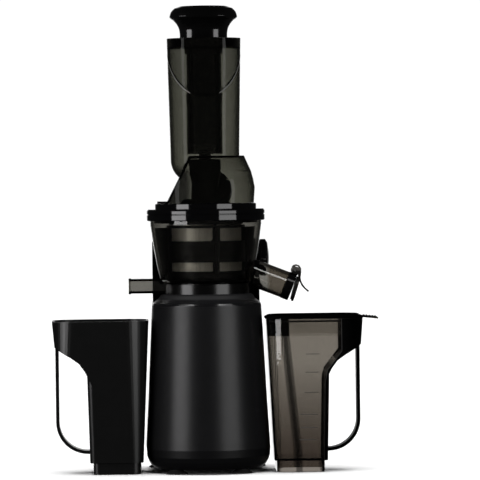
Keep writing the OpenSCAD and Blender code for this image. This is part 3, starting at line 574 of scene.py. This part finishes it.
def softbox(name, azimuth, level, wide, tall, distance, height, aim_height, tone=(1, 1, 1)):
    """A light round the object, with this level of brightness; azimuth 0 is in front and 90 to the right."""
    data = bpy.data.lights.new(name, "AREA")
    data.shape = "RECTANGLE"
    data.size = wide
    data.size_y = tall
    # The power that gives a face of this size that brightness
    data.energy = level * math.pi * wide * tall
    data.color = tone
    light = bpy.data.objects.new(name, data)
    scene.collection.objects.link(light)
    turn = math.radians(azimuth)
    place = Vector((math.sin(turn) * distance, -math.cos(turn) * distance, height))
    light.location = place
    light.rotation_euler = (Vector((0, 0, aim_height)) - place).to_track_quat("-Z", "Y").to_euler()
    light.visible_camera = False
    return light


def softbox_pair(name, objects, azimuths, levels, widths, **form):
    """Two lights, left and right, that fall on these objects only."""
    for side, azimuth, level, wide in zip(("left", "right"), azimuths, levels, widths):
        lit_only(softbox(name + "_" + side, azimuth, level, wide, **form), objects)


clear_top = [nodes["hopper"], nodes["guide_tube"], nodes["feed_guard"]]
knob = [nodes["pusher_knob"]]
right_clear = [nodes["juice_jug"], nodes["jug_lid"], nodes["bowl"]]
body = [nodes["body_shell"]]
strained = [nodes["bowl"], nodes["strainer_mesh"]]
back = [nodes["rear_cover"], nodes["cord_gland"], nodes["bottom_pan"]]

low_form = {"tall": 0.5, "distance": 1.6, "height": 0.25, "aim_height": 0.25}
high_form = {"tall": 0.5, "distance": 1.25, "height": 1.3, "aim_height": 0.3}
soft_left = softbox("softbox_left", azimuth=-54.5, level=5.4, wide=0.85, tone=(1.0, 0.99, 1.0), **low_form)
soft_right = softbox("softbox_right", azimuth=42, level=3.6, wide=1.0, **low_form)
high_left = softbox("high_left", azimuth=-54, level=2.6, wide=0.7, **high_form)
high_right = softbox("high_right", azimuth=42, level=2.2, wide=0.7, **high_form)
unlit_by = {
    soft_left: [],
    soft_right: right_clear,
    high_left: body,
    high_right: right_clear + body,
}
for light, unlit in unlit_by.items():
    lit_only(light, clear_top + knob + unlit, all_but=True)

softbox_pair("side", clear_top, azimuths=(-70, 66), levels=(0.7, 0.7), widths=(0.3, 0.3),
             tall=0.8, distance=1.6, height=0.4, aim_height=0.4)
softbox_pair("knob", knob, azimuths=(-74, 61), levels=(5, 4), widths=(0.75, 0.7),
             tall=0.88, distance=1.6, height=0.46, aim_height=0.46)
# Left and right of the back are as seen from behind
softbox_pair("back", back, azimuths=(138, 222), levels=(4, 4), widths=(0.8, 0.8),
             tall=0.8, distance=1.6, height=0.6, aim_height=0.2)
softbox_pair("shoulder", body, azimuths=(-50, 44), levels=(9, 8), widths=(0.9, 0.9),
             tall=0.5, distance=1.3, height=1.45, aim_height=0.18)
softbox_pair("mesh", strained, azimuths=(-31, 34), levels=(7, 8.5), widths=(0.6, 0.6),
             tall=0.6, distance=1.3, height=1.0, aim_height=0.25)


def floor_sun():
    """Broad light from above that falls on the floor only."""
    data = bpy.data.lights.new("floor_sun", "SUN")
    data.energy = 4.5
    data.angle = math.radians(60)
    sun = bpy.data.objects.new("floor_sun", data)
    scene.collection.objects.link(sun)
    lit_only(sun, [floor])


floor_sun()


# Room round the object

def studio_room():
    """White for the camera, and a dark room with a white far side for all else."""
    world = bpy.data.worlds.new("studio")
    world.use_nodes = True
    scene.world = world
    room = Nodes(world.node_tree)
    direction = room.add("TexCoord").outputs["Generated"]
    away = room.add("SeparateXYZ", Vector=direction).outputs["Y"]
    far_side = room.ranged(away, 0.015, 1, over=(0.93, 0.985), smooth=True)
    # Clear parts show more of the room than the gloss does, so that they look clear from all sides
    path = room.add("LightPath")
    near_half = room.ranged(away, 0, 0.36, over=(-0.15, -0.5))
    far_half = room.ranged(away, 0, 0.25, over=(0.3, 0.7))
    seen_through = room.calculated("MULTIPLY", room.calculated("ADD", near_half, far_half),
                                   path.outputs["Is Transmission Ray"])
    strength = room.calculated("MAXIMUM", seen_through, far_side)
    dark = room.add("Background", Color=(1, 1, 1), Strength=strength)
    white = room.add("Background", Color=(1, 1, 1), Strength=1.05)
    choice = room.add("MixShader", Fac=path.outputs["Is Camera Ray"])
    room.give(choice.inputs[1], dark.outputs[0])
    room.give(choice.inputs[2], white.outputs[0])
    room.add("OutputWorld", Surface=choice.outputs[0])


studio_room()
scene.view_settings.view_transform = "Standard"
scene.view_settings.look = "None"


# Camera

def photo_camera():
    """The photograph's view: from far away, a little from the left and from above the middle, and rolled."""
    aim = Vector((0.0364, 0, 0.24665))
    distance = 4.5
    height = 0.31
    turn = math.radians(-1.5)
    roll = math.radians(-0.7)
    picture_width = 0.5136
    data = bpy.data.cameras.new("camera")
    data.sensor_width = 36
    data.lens = data.sensor_width * distance / picture_width
    data.clip_start = 0.1
    data.clip_end = 60
    camera = bpy.data.objects.new("camera", data)
    scene.collection.objects.link(camera)
    camera.location = aim + Vector((math.sin(turn), -math.cos(turn), 0)) * distance
    camera.location.z = height
    facing = (aim - camera.location).to_track_quat("-Z", "Y")
    camera.rotation_mode = "QUATERNION"
    camera.rotation_quaternion = facing @ Matrix.Rotation(roll, 4, "Z").to_quaternion()
    scene.camera = camera


photo_camera()
